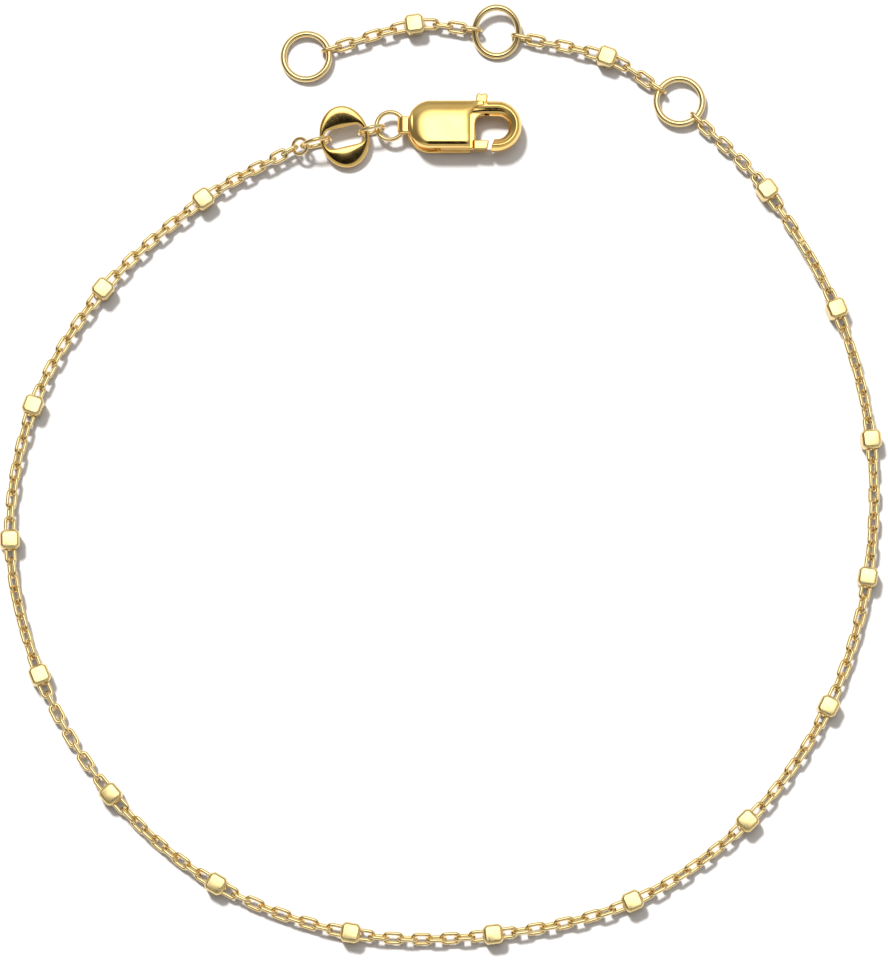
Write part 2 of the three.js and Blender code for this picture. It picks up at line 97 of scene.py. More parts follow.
class ChainSettings(bpy.types.PropertyGroup):
    """The cable chain's links."""

    wire: size("Wire", 0.24, "Thickness of a link's wire")
    width: size("Width", 0.84, "Width of a link")
    corner: size("Corner", 0.26, "Radius of the bends at a link's corners")
    rest: size("Rest", 0.54, "Height of the chain's middle between beads")
    first_width: size("First width", 0.9, "Width of the link on the chain's small ring")
    end_width: size("End width", 1.02, "Width of a link that hangs on an extender ring")
    pitch: size("Pitch", 0.89, "Usual distance from one link to the next")
    slack: size("Slack", 0.02, "Play between two links")
    ring_gap: size("Ring gap", 0.05, "Play between an end link and its ring")
    roll: angle("Roll", 36, "How far the links that stand on edge lean over")
    roll_heading: angle("Roll heading", -60, "Compass heading that they lean towards")
    twist: angle("Twist", 7, "How much that roll varies")
    twist_length: size("Twist length", 7, "Length of chain over which it varies")
    lean: angle("Lean", 4, "How far each link leans out of line")
    seed: IntProperty(name="Seed", description="Picks how each link leans", default=7)


class BeadSettings(bpy.types.PropertyGroup):
    """The cube beads."""

    edge: size("Edge", 0.14, "Width of the cut along the cube's level edges")
    corner: size("Corner", 0.22, "Width of the cut along the cube's upright edges")
    softness: size("Softness", 0.06, "How far the edges are tumbled round")
    bore: size("Bore", 0.88, "Width of the hole that the chain runs through")
    roll: angle("Roll", 4.5, "How far a bead rolls to one side or the other")
    seed: IntProperty(name="Seed", description="Picks how each bead lies", default=3)


class ClaspSettings(bpy.types.PropertyGroup):
    """The lobster clasp."""

    body_length: size("Body length", 5.2, "From the tail to the nose")
    flange: size("Flange", 0.1, "How far the body's lower half stands out")
    slope: angle("Slope", 5, "How far the top slopes down towards the thumb tab")
    tail: size("Tail", 0.2, "How far the body's top comes down towards its tail")
    shelf: size("Shelf", 0.08, "How far the body thins out towards its open end")
    bar_root: size("Hook at root", 1.0, "Width of the hook's bar where it leaves the body")
    bar_bend: size("Hook at bend", 0.8, "Width of the hook's bar at its bend")
    bar_height: size("Hook height", 1.15, "Height of the hook's bar")
    voxel: size("Grain", 0.034, "Fineness of the cast surface's mesh")


class TagSettings(bpy.types.PropertyGroup):
    """The open oval tag."""

    rim: size("Rim", 0.32, "Width of the tag beside its window")
    window: size("Window", 1.25, "Height of the tag's window")
    corner: size("Window corner", 0.5, "Radius of the window's corners")


class FinishSettings(bpy.types.PropertyGroup):
    """The gold plate's finishes."""

    polished: colour("Polished", (1.0, 0.69, 0.23), "Colour of the clasp and the tag")
    wire: colour("Wire", (0.87, 0.69, 0.35), "Colour of links and rings")
    bead: colour("Bead", (0.88, 0.7, 0.34), "Colour of the beads")
    polish: share("Polish roughness", 0.15, "Roughness of the mirror-polished pieces")
    drawn: share("Wire roughness", 0.1, "Roughness of the wire")
    tumbled: share("Bead roughness", 0.25, "Roughness of the beads")


class StageSettings(bpy.types.PropertyGroup):
    """Table, light and camera."""

    table: colour("Table", (0.62, 0.6, 0.59), "Colour of the table")
    table_size: size("Table size", 3000, "Width of the table")
    elevation: angle("Elevation", 80.5, "Height of the camera above the table's level")
    distance: size("Distance", 400, "From the camera to the middle of the view")
    view: size("View", 61.44, "What the picture's height takes in at that distance")
    aim: FloatVectorProperty(
        name="Aim",
        description="Middle of the view",
        default=(0.000185, -0.000586, 0.0),
        precision=6,
        subtype="TRANSLATION",
        unit="LENGTH",
    )
    key: share("Key", 4.9, "Strength of the key light", most=20.0)
    sky: share("Sky", 1.0, "Strength of the light all round", most=20.0)
    glow: share("Glow", 2.4, "Brightness of the soft light overhead", most=20.0)
    hood: angle("Hood", 19, "Half the width of the dark patch that the gold mirrors")


# ---- Meshes, in millimetres ----


def ring_faces(rows, columns, open_ends=False):
    """Faces over a grid of points that closes both ways, or one way with open ends."""
    row = np.arange(rows - open_ends)[:, None]
    column = np.arange(columns)[None, :]
    right = (column + 1) % columns
    below = (row + 1) % rows
    corners = [(row, column), (below, column), (below, right), (row, right)]
    return np.stack([down * columns + along for down, along in corners], -1).reshape(-1, 4)


def new_mesh(name, points, faces):
    mesh = bpy.data.meshes.new(name)
    mesh.from_pydata([tuple(p) for p in points], [], [tuple(f) for f in faces])
    mesh.validate()
    return mesh


def loft(loops):
    """A closed skin over level loops that have the same number of points."""
    columns = len(loops[0])
    faces = ring_faces(len(loops), columns, open_ends=True).tolist()
    last = (len(loops) - 1) * columns
    faces.append(list(range(columns)))
    faces.append([last + i for i in reversed(range(columns))])
    mesh = new_mesh("loft", np.concatenate(loops), faces)
    outward(mesh)
    return mesh


def outward(mesh):
    work = bmesh.new()
    work.from_mesh(mesh)
    bmesh.ops.recalc_face_normals(work, faces=work.faces)
    work.to_mesh(mesh)
    work.free()


def in_scene(data):
    """A loose object that holds a mesh, a lamp or a camera."""
    holder = bpy.data.objects.new(data.name, data)
    bpy.context.scene.collection.objects.link(holder)
    return holder


def taken_from(holder):
    """The holder's mesh, once the holder is gone."""
    mesh = holder.data
    bpy.data.objects.remove(holder)
    return mesh


def apply_modifiers(holder):
    graph = bpy.context.evaluated_depsgraph_get()
    shaped = bpy.data.meshes.new_from_object(holder.evaluated_get(graph))
    before = holder.data
    holder.modifiers.clear()
    holder.data = shaped
    bpy.data.meshes.remove(before)


def combine(holder, mesh, operation="DIFFERENCE"):
    """Cuts a mesh out of the holder's, or with UNION joins it on."""
    other = in_scene(mesh)
    modifier = holder.modifiers.new("Combine", "BOOLEAN")
    modifier.object = other
    modifier.operation = operation
    modifier.solver = "EXACT"
    apply_modifiers(holder)
    bpy.data.meshes.remove(taken_from(other))


def cast(holder, voxel, passes):
    """Turns sharp built-up shapes into one smooth casting."""
    remesh = holder.modifiers.new("Cast", "REMESH")
    remesh.mode = "VOXEL"
    remesh.voxel_size = voxel
    smooth = holder.modifiers.new("Soften", "SMOOTH")
    smooth.iterations = passes
    apply_modifiers(holder)


def eased(t):
    """From 0 to 1 with a gentle start and stop."""
    return t * t * (3 - 2 * t)


def squared(value, power):
    """A sine or cosine drawn towards 1 or -1 by a power below 1."""
    return np.sign(value) * np.abs(value) ** power


def vertices_of(mesh):
    points = np.empty(len(mesh.vertices) * 3, np.float32)
    mesh.vertices.foreach_get("co", points)
    return points.reshape(-1, 3).astype(float)


def set_vertices(mesh, points):
    mesh.vertices.foreach_set("co", points.astype(np.float32).ravel())
    mesh.update()


def finish_piece(name, mesh, place, node, slot, body="root", sharp_angle=None):
    """Sets a finished mesh in its place, in metres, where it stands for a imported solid."""
    mesh.name = name
    mesh.transform(Matrix.Scale(MM, 4) @ place)
    for polygon in mesh.polygons:
        polygon.use_smooth = True
    if sharp_angle is not None:
        mesh.set_sharp_from_angle(angle=sharp_angle)
    mesh.materials.clear()
    mesh.materials.append(gold(slot))
    piece = in_scene(mesh)
    piece.name = name
    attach(piece, body)
    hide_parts(node)


# ---- Places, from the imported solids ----


def box_of(node):
    low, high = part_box(node)
    return low / MM, high / MM


def middle_of(node):
    low, high = box_of(node)
    return np.array((low + high) / 2)


def plane_of(node):
    """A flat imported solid's middle, its axes from longest to shortest, and its points."""
    points = vertices_of(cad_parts[node].data) / MM
    points = np.unique(points.round(5), axis=0)
    middle = (points.min(0) + points.max(0)) / 2
    axes = np.linalg.svd(points - points.mean(0), full_matrices=False)[2]
    if np.linalg.det(axes) < 0:
        axes[2] *= -1
    return middle, axes, (points - middle) @ axes.T


class Ring:
    """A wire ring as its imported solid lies."""

    def __init__(self, node):
        self.middle, self.axes, flat = plane_of(node)
        spread = flat[:, :2].std(0)
        self.oval = spread / spread.mean()
        reach = np.hypot(*(flat[:, :2] / self.oval).T)
        self.radius = (reach.max() + reach.min()) / 2
        self.wire = (reach.max() - reach.min()) / 2

    def point(self, heading):
        """The wire's middle, in a direction from the ring's middle."""
        flat = (self.axes @ heading)[:2] / self.oval
        flat *= self.radius * self.oval / np.linalg.norm(flat)
        return self.middle + flat @ self.axes[:2]

    def matrix(self):
        return matrix_from(self.axes, self.middle)


def matrix_from(axes, middle):
    """A placing matrix whose axes are the rows of a table."""
    rows = np.column_stack([axes.T, middle]).tolist()
    return Matrix([*rows, (0.0, 0.0, 0.0, 1.0)])


# ---- Finishes ----


def nodes_of(owner):
    owner.use_nodes = True
    return owner.node_tree.nodes, owner.node_tree.links


def ramp(nodes, stops):
    """A colour ramp with a colour at each stop."""
    node = nodes.new("ShaderNodeValToRGB")
    elements = node.color_ramp.elements
    while len(elements) < len(stops):
        elements.new(0.5)
    for element, (position, value) in zip(elements, stops):
        element.position = position
        element.color = (*value, 1.0)
    return node


# Slot of the record: its material, the settings for its colour and roughness, the grain of its
# tumbling marks in millimetres, and how strongly they show.
FINISHES = {
    "polished_gold": ("Polished gold", "polished", "polish", 0.16, 0.12),
    "wire_gold": ("Wire gold", "wire", "drawn", 0.1, 0.15),
    "bead_gold": ("Bead gold", "bead", "tumbled", 0.12, 0.15),
}
NOISE_RANGE = (0.3, 0.7)  # what a noise texture gives nearly everywhere
TONE_GRAIN, TONE_STOPS = 1.1, (0.35, 0.65)
WARM_TONE = (1.0, 0.95, 0.86)  # share of each colour in the warmer patches
POLISH_GRAIN, POLISH_RANGE = 0.35, (0.88, 1.18)  # shares of the roughness setting
MARK_DEPTH = 0.004


def gold(slot):
    """Plated gold: a faintly uneven tone and polish, with fine tumbling marks."""
    name, colour_setting, roughness_setting, mark_grain, relief = FINISHES[slot]
    found = bpy.data.materials.get(name)
    if found:
        return found
    finish = bpy.context.scene.bracelet_finish
    base, roughness = getattr(finish, colour_setting), getattr(finish, roughness_setting)
    material = bpy.data.materials.new(name)
    nodes, links = nodes_of(material)
    shader = nodes["Principled BSDF"]
    shader.inputs["Metallic"].default_value = 1.0
    place = nodes.new("ShaderNodeTexCoord")

    def noise(grain, detail):
        texture = nodes.new("ShaderNodeTexNoise")
        texture.inputs["Scale"].default_value = 1 / (grain * MM)
        texture.inputs["Detail"].default_value = detail
        links.new(place.outputs["Object"], texture.inputs["Vector"])
        return texture.outputs["Fac"]

    warm = [part * value for part, value in zip(WARM_TONE, base)]
    tone = ramp(nodes, list(zip(TONE_STOPS, (warm, base))))
    links.new(noise(TONE_GRAIN, 3.0), tone.inputs["Fac"])
    links.new(tone.outputs["Color"], shader.inputs["Base Color"])

    polish = nodes.new("ShaderNodeMapRange")
    bounds = (*NOISE_RANGE, *[part * roughness for part in POLISH_RANGE])
    for socket, value in zip(("From Min", "From Max", "To Min", "To Max"), bounds):
        polish.inputs[socket].default_value = value
    links.new(noise(POLISH_GRAIN, 4.0), polish.inputs["Value"])
    links.new(polish.outputs["Result"], shader.inputs["Roughness"])

    marks = nodes.new("ShaderNodeBump")
    marks.inputs["Strength"].default_value = relief
    marks.inputs["Distance"].default_value = MARK_DEPTH * MM
    links.new(noise(mark_grain, 2.0), marks.inputs["Height"])
    links.new(marks.outputs["Normal"], shader.inputs["Normal"])
    return material


# ---- Links ----

# How far the chain is turned about its own line half-way along a span, in degrees. Span 0 runs
# from the small ring to the first bead.
TURNED_SPANS = {0: 30, 3: 38, 4: 45, 6: 42, 11: 42, 13: 45, 14: 45, 15: 42}
TWISTS = 100  # drawn for each run, one to a twist length
SETTLING_LINKS = 3  # from a ring to where the chain has its whole roll


def link_template(half_hole, width, wire, corner, corner_steps=5, side_steps=3, across=12):
    """Points and faces of one link that lies along x: a round wire bent to a long loop."""
    reach = half_hole + wire / 2 - corner
    radius = (width - wire) / 2
    middles, outs = [], []
    for side in (1, -1):
        for half in (-1, 1):
            middle = side * np.array([reach, half * (radius - corner), 0.0])
            for step in range(corner_steps + 1):
                turn = math.pi / 2 * (step / corner_steps + min(half, 0))
                out = side * np.array([math.cos(turn), math.sin(turn), 0.0])
                middles.append(middle + out * corner)
                outs.append(out)
        for step in range(1, side_steps):
            along = reach * (1 - 2 * step / side_steps)
            middles.append(side * np.array([along, radius, 0.0]))
            outs.append(side * np.array([0.0, 1.0, 0.0]))
    turns = np.linspace(0, 2 * math.pi, across, endpoint=False)
    cos, sin = np.cos(turns)[None, :, None], np.sin(turns)[None, :, None]
    up = np.array([0.0, 0.0, 1.0])
    middles, outs = np.array(middles)[:, None], np.array(outs)[:, None]
    points = middles + wire / 2 * (outs * cos + up * sin)
    return points.reshape(-1, 3), ring_faces(len(points), across)


class Route:
    """The middle line of a run of chain: through its knots, and down between them."""

    SAMPLES = 80  # to a span
    HALF_CHORD = 0.4  # of the stretch that gives a link's direction

    def __init__(self, knots):
        rest = bpy.context.scene.bracelet_chain.rest / MM
        knots = np.array(knots)
        ends = [2 * knots[0] - knots[1], 2 * knots[-1] - knots[-2]]
        padded = np.vstack([ends[0], knots, ends[1]])
        points = []
        for i in range(len(knots) - 1):
            before, start, stop, after = padded[i : i + 4]
            t = np.linspace(0, 1, self.SAMPLES, endpoint=False)[:, None]
            curve = 0.5 * (
                2 * start
                + (stop - before) * t
                + (2 * before - 5 * start + 4 * stop - after) * t**2
                + (3 * start - before - 3 * stop + after) * t**3
            )
            sag = min(start[2], stop[2]) - rest
            drop = sag * np.sin(math.pi * t[:, 0]) ** 2
            curve[:, 2] = start[2] + (stop[2] - start[2]) * eased(t[:, 0]) - drop
            points.append(curve)
        self.points = np.vstack(points + [knots[-1:]])
        steps = np.linalg.norm(np.diff(self.points, axis=0), axis=1)
        self.distances = np.concatenate([[0], np.cumsum(steps)])
        self.knot_distances = self.distances[:: self.SAMPLES]

    def at(self, distance):
        return np.array([np.interp(distance, self.distances, axis) for axis in self.points.T])

    def axes(self, distance, roll):
        """Axes of a link at a distance: x along the route and y level, then rolled about x."""
        x = self.at(distance + self.HALF_CHORD) - self.at(distance - self.HALF_CHORD)
        x /= np.linalg.norm(x)
        y = np.cross([0.0, 0.0, 1.0], x)
        y /= np.linalg.norm(y)
        z = np.cross(x, y)
        cos, sin = math.cos(roll), math.sin(roll)
        return np.array([x, cos * y + sin * z, cos * z - sin * y])

    def heading(self, distance):
        x = self.axes(distance, 0.0)[0]
        return math.atan2(x[1], x[0])


def link_distances(route, ring_wires):
    """(distance, half a hole's length) for each link of a run that hangs on a ring at each end.

    A link passes through every bead, on edge like the end links, so each stretch between two of
    those has an even number of links.
    """
    chain = bpy.context.scene.bracelet_chain
    pitch, slack, gap = chain.pitch / MM, chain.slack / MM, chain.ring_gap / MM
    knots = route.knot_distances

    def even(pitches):
        return 2 * round(pitches / 2)

    def end_pitch(length, wire):
        # length = the end link's reach past the ring's wire + the pitches to the bead's link
        reach = length + wire + gap - slack / 2
        return reach / (even(reach / pitch - 0.5) + 0.5)

    first = end_pitch(knots[1], ring_wires[0])
    last = end_pitch(knots[-1] - knots[-2], ring_wires[1])
    stops = list(knots[1:-1])
    stops.insert(0, (first + slack) / 2 - ring_wires[0] - gap)
    stops.append(knots[-1] - (last + slack) / 2 + ring_wires[1] + gap)
    found = []
    for start, stop in zip(stops, stops[1:]):
        count = even((stop - start) / pitch)
        step = (stop - start) / count
        half_hole = (step + slack) / 2
        if found:
            found[-1] = (found[-1][0], max(found[-1][1], half_hole))
        else:
            found.append((start, half_hole))
        found += [(start + step * i, half_hole) for i in range(1, count + 1)]
    return found


def leaning(route, distance, turned_spans):
    """How far the links that stand on edge lean over, at a distance along their run."""
    chain = bpy.context.scene.bracelet_chain
    sideways = route.heading(distance) + math.pi / 2
    over = chain.roll * math.cos(sideways - chain.roll_heading)
    span = np.searchsorted(route.knot_distances, distance) - 1
    if span in turned_spans:
        start, stop = route.knot_distances[span : span + 2]
        turned = math.copysign(math.radians(turned_spans[span]), over)
        over += (turned - over) * math.sin(math.pi * (distance - start) / (stop - start))
    return over


def chain_mesh(name, route, ring_wires, end_widths, turned_spans):
    """All the links of a run, as one mesh of separate interlocking loops."""
    chain = bpy.context.scene.bracelet_chain
    wire, width, corner = chain.wire / MM, chain.width / MM, chain.corner / MM
    distances = link_distances(route, ring_wires)
    at_end = {0: end_widths[0], len(distances) - 1: end_widths[1]}
    lean = random.Random(chain.seed)
    twists = [lean.uniform(-chain.twist, chain.twist) for _ in range(TWISTS)]
    points, faces, count = [], [], 0
    for i, (distance, half_hole) in enumerate(distances):
        shape, grid = link_template(half_hole, at_end.get(i, width), wire, corner)
        roll = 0.0 if i % 2 else math.pi / 2
        if i not in at_end:
            from_end = min(i, len(distances) - 1 - i)
            twist = np.interp(distance / (chain.twist_length / MM), range(TWISTS), twists)
            over = leaning(route, distance, turned_spans)
            roll += min(1.0, from_end / SETTLING_LINKS) * (twist - over)
            roll += lean.uniform(-chain.lean, chain.lean)
        points.append(shape @ route.axes(distance, roll) + route.at(distance))
        faces.append(grid + count)
        count += len(shape)
    return new_mesh(name, np.vstack(points), np.vstack(faces).tolist())


def route_of(ring, beads, next_ring):
    """A run's route between its rings. On the small ring it starts from the lowest point."""
    beads = [middle_of(bead) for bead in beads]
    start, stop = Ring(ring), Ring(next_ring)
    way = np.array([0.0, 0.0, -1.0]) if ring == "chain_ring" else beads[0] - start.middle
    return Route([start.point(way), *beads, stop.point(beads[-1] - stop.middle)])


class BRACELET_OT_chains(bpy.types.Operator):
    """Strings the main chain and the two extender chains from real interlocking links"""

    bl_idname = "bracelet.chains"
    bl_label = "Chains"

    def execute(self, context):
        chain = context.scene.bracelet_chain
        for name, ring, beads, next_ring in RUNS:
            wires = [Ring(ring).wire, Ring(next_ring).wire]
            first = chain.first_width if ring == "chain_ring" else chain.end_width
            widths = (first / MM, chain.end_width / MM)
            turned = TURNED_SPANS if name == "main_chain" else {}
            mesh = chain_mesh(name, route_of(ring, beads, next_ring), wires, widths, turned)
            finish_piece(f"{name}_links", mesh, Matrix(), name, "wire_gold")
        return {"FINISHED"}


# ---- Rings ----


def torus(ring, around=96, across=24):
    turn = np.linspace(0, 2 * math.pi, around, endpoint=False)[:, None]
    tube = np.linspace(0, 2 * math.pi, across, endpoint=False)[None, :]
    reach = ring.radius + ring.wire * np.cos(tube)
    height = ring.wire * np.sin(tube) + 0 * turn
    flat = np.stack([reach * np.cos(turn), reach * np.sin(turn)], axis=-1) * ring.oval
    points = np.dstack([flat, height]).reshape(-1, 3)
    return points, ring_faces(around, across).tolist()


class BRACELET_OT_rings(bpy.types.Operator):
    """Bends the jump rings and the extender rings from round wire"""

    bl_idname = "bracelet.rings"
    bl_label = "Rings"

    def execute(self, context):
        for node in RINGS:
            ring = Ring(node)
            mesh = new_mesh(node, *torus(ring))
            finish_piece(f"{node}_wire", mesh, ring.matrix(), node, "wire_gold")
        return {"FINISHED"}


# ---- Beads ----

BEAD_SHARP_ANGLE = 12  # degrees between faces that keep a crisp edge
ROLL_TO_TIP = 3  # a bead may roll this many times as far as it tips


def bead_mesh(side):
    """A cube with cut edges, tumbled a little round and bored along x."""
    bead = bpy.context.scene.bracelet_bead
    half, edge, corner = side / 2, bead.edge / MM, bead.corner / MM
    work = bmesh.new()
    for height, out in ((half, edge), (half - edge, 0.0)):
        far, near = half - out, half - corner - out * math.tan(math.pi / 8)
        for a, b in ((near, far), (far, near)):
            for signs in range(8):
                sign = [1 if signs >> bit & 1 else -1 for bit in range(3)]
                work.verts.new([s * p for s, p in zip(sign, (a, b, height))])
    hull = bmesh.ops.convex_hull(work, input=work.verts)
    spare = [v for v in hull["geom_interior"] + hull["geom_unused"] if v.is_valid]
    bmesh.ops.delete(work, geom=spare, context="VERTS")
    bmesh.ops.dissolve_limit(
        work, angle_limit=math.radians(1), verts=work.verts, edges=work.edges
    )
    soft = {"offset": bead.softness / MM, "segments": 3, "profile": 0.5, "affect": "EDGES"}
    bmesh.ops.bevel(work, geom=work.edges[:], clamp_overlap=True, **soft)
    bmesh.ops.recalc_face_normals(work, faces=work.faces)
    mesh = bpy.data.meshes.new("bead")
    work.to_mesh(mesh)
    work.free()
    holder = in_scene(mesh)
    combine(holder, round_bar(bead.bore / MM / 2, side))
    return taken_from(holder)


def round_bar(radius, half_length, sides=40):
    """A round bar along x."""
    turns = np.linspace(0, 2 * math.pi, sides, endpoint=False)
    ring = np.stack([0 * turns, radius * np.cos(turns), radius * np.sin(turns)], -1)
    reach = np.array([half_length, 0.0, 0.0])
    return loft([ring - reach, ring + reach])


class BRACELET_OT_beads(bpy.types.Operator):
    """Cuts the eighteen cube beads and threads them on the chains"""

    bl_idname = "bracelet.beads"
    bl_label = "Beads"

    def execute(self, context):
        low, high = box_of(MAIN_BEADS[0])
        side = high.z - low.z
        template = bead_mesh(side)
        lie = random.Random(context.scene.bracelet_bead.seed)
        roll = context.scene.bracelet_bead.roll
        sharp = math.radians(BEAD_SHARP_ANGLE)
        for _, ring, beads, next_ring in RUNS:
            route = route_of(ring, beads, next_ring)
            for bead, distance in zip(beads, route.knot_distances[1:-1]):
                turn = Matrix.Rotation(route.heading(distance), 4, "Z")
                turn @= Matrix.Rotation(lie.uniform(-roll, roll), 4, "X")
                turn @= Matrix.Rotation(lie.uniform(-roll, roll) / ROLL_TO_TIP, 4, "Y")
                lowest = min((turn @ vertex.co).z for vertex in template.vertices)
                lift = Vector((0.0, 0.0, -side / 2 - lowest))
                place = Matrix.Translation(Vector(middle_of(bead)) + lift) @ turn
                mesh = template.copy()
                finish_piece(f"{bead}_cube", mesh, place, bead, "bead_gold", sharp_angle=sharp)
        bpy.data.meshes.remove(template)
        return {"FINISHED"}


# ---- Tag ----

TAG_SQUARENESS = 0.75  # of the section through its rim: 1 is an ellipse, and less is squarer
TINY = 1e-9


def window_reach(way, half_window, corner):
    """How far a rounded window's edge lies from its middle, in a direction."""
    way = np.abs(way)
    straight = min(half_window / np.maximum(way, TINY))
    inner = half_window - corner
    if np.any(straight * way <= inner):
        return straight
    middle = way @ inner
    return middle + math.sqrt(corner**2 - inner @ inner + middle**2)


def tag_mesh(length, height, thickness, around=200, across=36):
    """An open oval plate, domed between its window and its edge on both faces."""
    tag = bpy.context.scene.bracelet_tag
    half_window = np.array([length / 2 - tag.rim / MM, tag.window / MM / 2])
    points = []
    for i in range(around):
        turn = 2 * math.pi * i / around
        edge = np.array([length / 2 * math.cos(turn), height / 2 * math.sin(turn)])
        way = edge / np.linalg.norm(edge)
        hole = way * window_reach(way, half_window, tag.corner / MM)
        for j in range(across):
            section = 2 * math.pi * j / across
            out = squared(math.cos(section), TAG_SQUARENESS)
            rise = squared(math.sin(section), TAG_SQUARENESS)
            flat = hole + (edge - hole) * (0.5 + 0.5 * out)
            points.append([flat[0], flat[1], thickness / 2 * rise])
    return new_mesh("tag", points, ring_faces(around, across).tolist())


class BRACELET_OT_tag(bpy.types.Operator):
    """Shapes the open oval tag"""

    bl_idname = "bracelet.tag"
    bl_label = "Tag"

    def execute(self, context):
        middle, axes, flat = plane_of("tag")
        height, length, thickness = np.ptp(flat, axis=0)
        mesh = tag_mesh(length, height, thickness)
        place = matrix_from(np.array([axes[1], -axes[0], axes[2]]), middle)
        finish_piece("tag_plate", mesh, place, "tag", "polished_gold")
        return {"FINISHED"}


# ---- Clasp: x from its tail to its hook, y towards its thumb tab, z up ----

CLASP_HALF_WIDTH = 1.6
CLASP_THICKNESS = 1.95
CLASP_MIDDLE = CLASP_THICKNESS / 2
FAR = 9.0  # past everything, where cutters end
THROUGH = CLASP_THICKNESS + 1  # of a cutter that goes right through

# Body
TAIL_RADIUS, NOSE_RADIUS, LEAST_RADIUS = 1.45, 0.6, 0.05
SOLE_INSET, SOLE_HEIGHT = 0.5, 0.4  # how far the underside rounds in, and from what height
SEAM_LOW, SEAM_HIGH = 0.5, 1.36  # where the body's lower half ends and its upper half starts
LIP = [(-0.05, 0.0), (0.02, 0.03)]  # the lower half's eased edge: up from its end, and inwards
SKIRT = 0.25  # how far the upper half's side goes on down
DOME_INSET = 1.25  # from the edge to the nearly flat strip on top
DOME_CROWDING = 1.7  # how much closer its levels are near the edge
CUSHION_POWER = 5.0  # how square the domed upper half is
BAY_LEFT, BAY_TOP, BAY_RADIUS = 4.0, 1.3, 0.85
BAY_MIDDLE = (BAY_LEFT + BAY_RADIUS, BAY_TOP - BAY_RADIUS)  # of its rounded corner

# The seam's floor: where it starts at the lever's heel, then the middle, both radii, the first
# angle and the sweep of its bend round the tail's corner.
SEAM_START, SEAM_BEND = 1.95, (1.45, -0.1, 1.3, 1.2, 270, -75)
SEAM_HEIGHT, SEAM_GAP = 0.6, 0.04

# The slot that the lever turns in
SLOT_HEIGHT = 0.72
SLOT_SOUTH = [(1.91, -FAR), (5.2, -FAR), (5.2, 0.0), (5.15, 1.15)]
SLOT_NORTH = [(5.15, FAR), (2.85, FAR), (2.85, 1.15), (1.78, 1.15), (1.78, -1.57)]

# Hook
HOOK_START, HOOK_TURN, HOOK_TIP = 3.9, 5.7, 5.45
HOOK_SPARE = 0.6  # how far it is made past its tip before that is cut
HOOK_SLANT, HOOK_DROP = 18, 0.12
HOOK_SQUARENESS = 0.9  # of its section
TIP_MIDDLE = 0.37  # from its outer side in to the middle of the slanted cut
LEDGE, LEDGE_SHARE, LEDGE_EDGE = 0.11, 0.54, 0.06  # it is lower over this share of its width

# Eye
EYE_X, EYE_Z, EYE_RADIUS, EYE_HALF_WIDTH = -0.28, 1.0, 0.42, 0.57
EYE_END, EYE_CORNER, EYE_NARROWING = 1.2, 0.12, 0.06
EYE_PLAY = 0.07

# How the cast body's top is brought down
SHELF_LENGTH, TAIL_LENGTH = 0.5, 1.7  # over which it comes down to the bay and to the tail
BAY_STRAY, TAIL_STRAY = 0.05, 0.12  # how far past the bay's and the tail's line that goes on
STILL_HEIGHT = 0.45  # from the clasp's middle to the first skin that moves
SHOULDER, SHOULDER_START = 0.07, 0.2  # how the top rounds down to the thumb tab's side
CREST = -1.5  # the line along the body where its sloping top is highest
SLOPE_DEPTH = 0.1  # below the top, the skin above this has the whole slope
SLOPE_START, SLOPE_RUN = -0.1, 0.4  # where the slope sets in, and over what length
SLOPE_LIFT = 0.02  # the most that it lifts the skin past its crest
NOSE_START, NOSE_END = 4.1, 5.1  # where the body comes down to the hook's height
NOSE_LEVELLING = 0.6  # share of the slope that is gone there

# Lever, seen from above
OPENING_LEFT, OPENING_TOP = 4.33, 0.62
PIVOT, PIN_RADIUS, PIN_COVER = (3.35, -0.6), 0.25, 0.3  # of its hole; the skin over its ends
LEVER_THICKNESS, GATE_THICKNESS = 0.6, 1.0
LEVER_GRAIN = 1.3  # times the body's
ARM = [(2.08, -1.62), (5.07, -1.62), (5.2, -1.06), (OPENING_LEFT, -1.06)]
GATE = [(4.2, -1.64), (5.07, -1.64), (5.2, -1.06), (4.2, -1.06)]
NECK_BEND, NECK_END = 0.55, 4.9
TAB_START, TAB_END = (5.04, 1.25), (4.3, 1.45)
LOBES, LOBE_Y, LOBE_RADIUS, LOBE_SWEEP, NOTCH_Y = (4.94, 4.56), 1.9, 0.19, 210, 1.7
BACK = ((3.75, 0.9), (3.65, -0.15), (2.85, -0.3))
HEEL = (1.95, -1.15)


def arc(x, y, across, up, start, sweep, steps):
    """Points of a bend round a middle with two radii. Its start and sweep are in degrees."""
    turns = [math.radians(start + sweep * step / steps) for step in range(steps + 1)]
    return [(x + across * math.cos(turn), y + up * math.sin(turn)) for turn in turns]


def rounded_rectangle(x0, x1, half_width, left, right, steps=10):
    corners = [
        (x1 - right, right - half_width, right, -90),
        (x1 - right, half_width - right, right, 0),
        (x0 + left, half_width - left, left, 90),
        (x0 + left, left - half_width, left, 180),
    ]
    outline = []
    for x, y, radius, start in corners:
        outline += arc(x, y, radius, radius, start, 90, steps)
    return np.array(outline)


def level(outline, z):
    return np.column_stack([outline, np.full(len(outline), z)])


def slab(outline, thickness, middle=CLASP_MIDDLE):
    """A flat piece of this thickness, half-way up the clasp unless a height is given."""
    outline = np.array(outline)
    half = thickness / 2
    return loft([level(outline, middle - half), level(outline, middle + half)])


def curve(start, control, stop, steps=8):
    """Points of a bend towards a control point, from just past its start to its stop."""
    start, control, stop = map(np.array, (start, control, stop))
    ts = [i / steps for i in range(1, steps + 1)]
    return [(1 - t) ** 2 * start + 2 * t * (1 - t) * control + t * t * stop for t in ts]


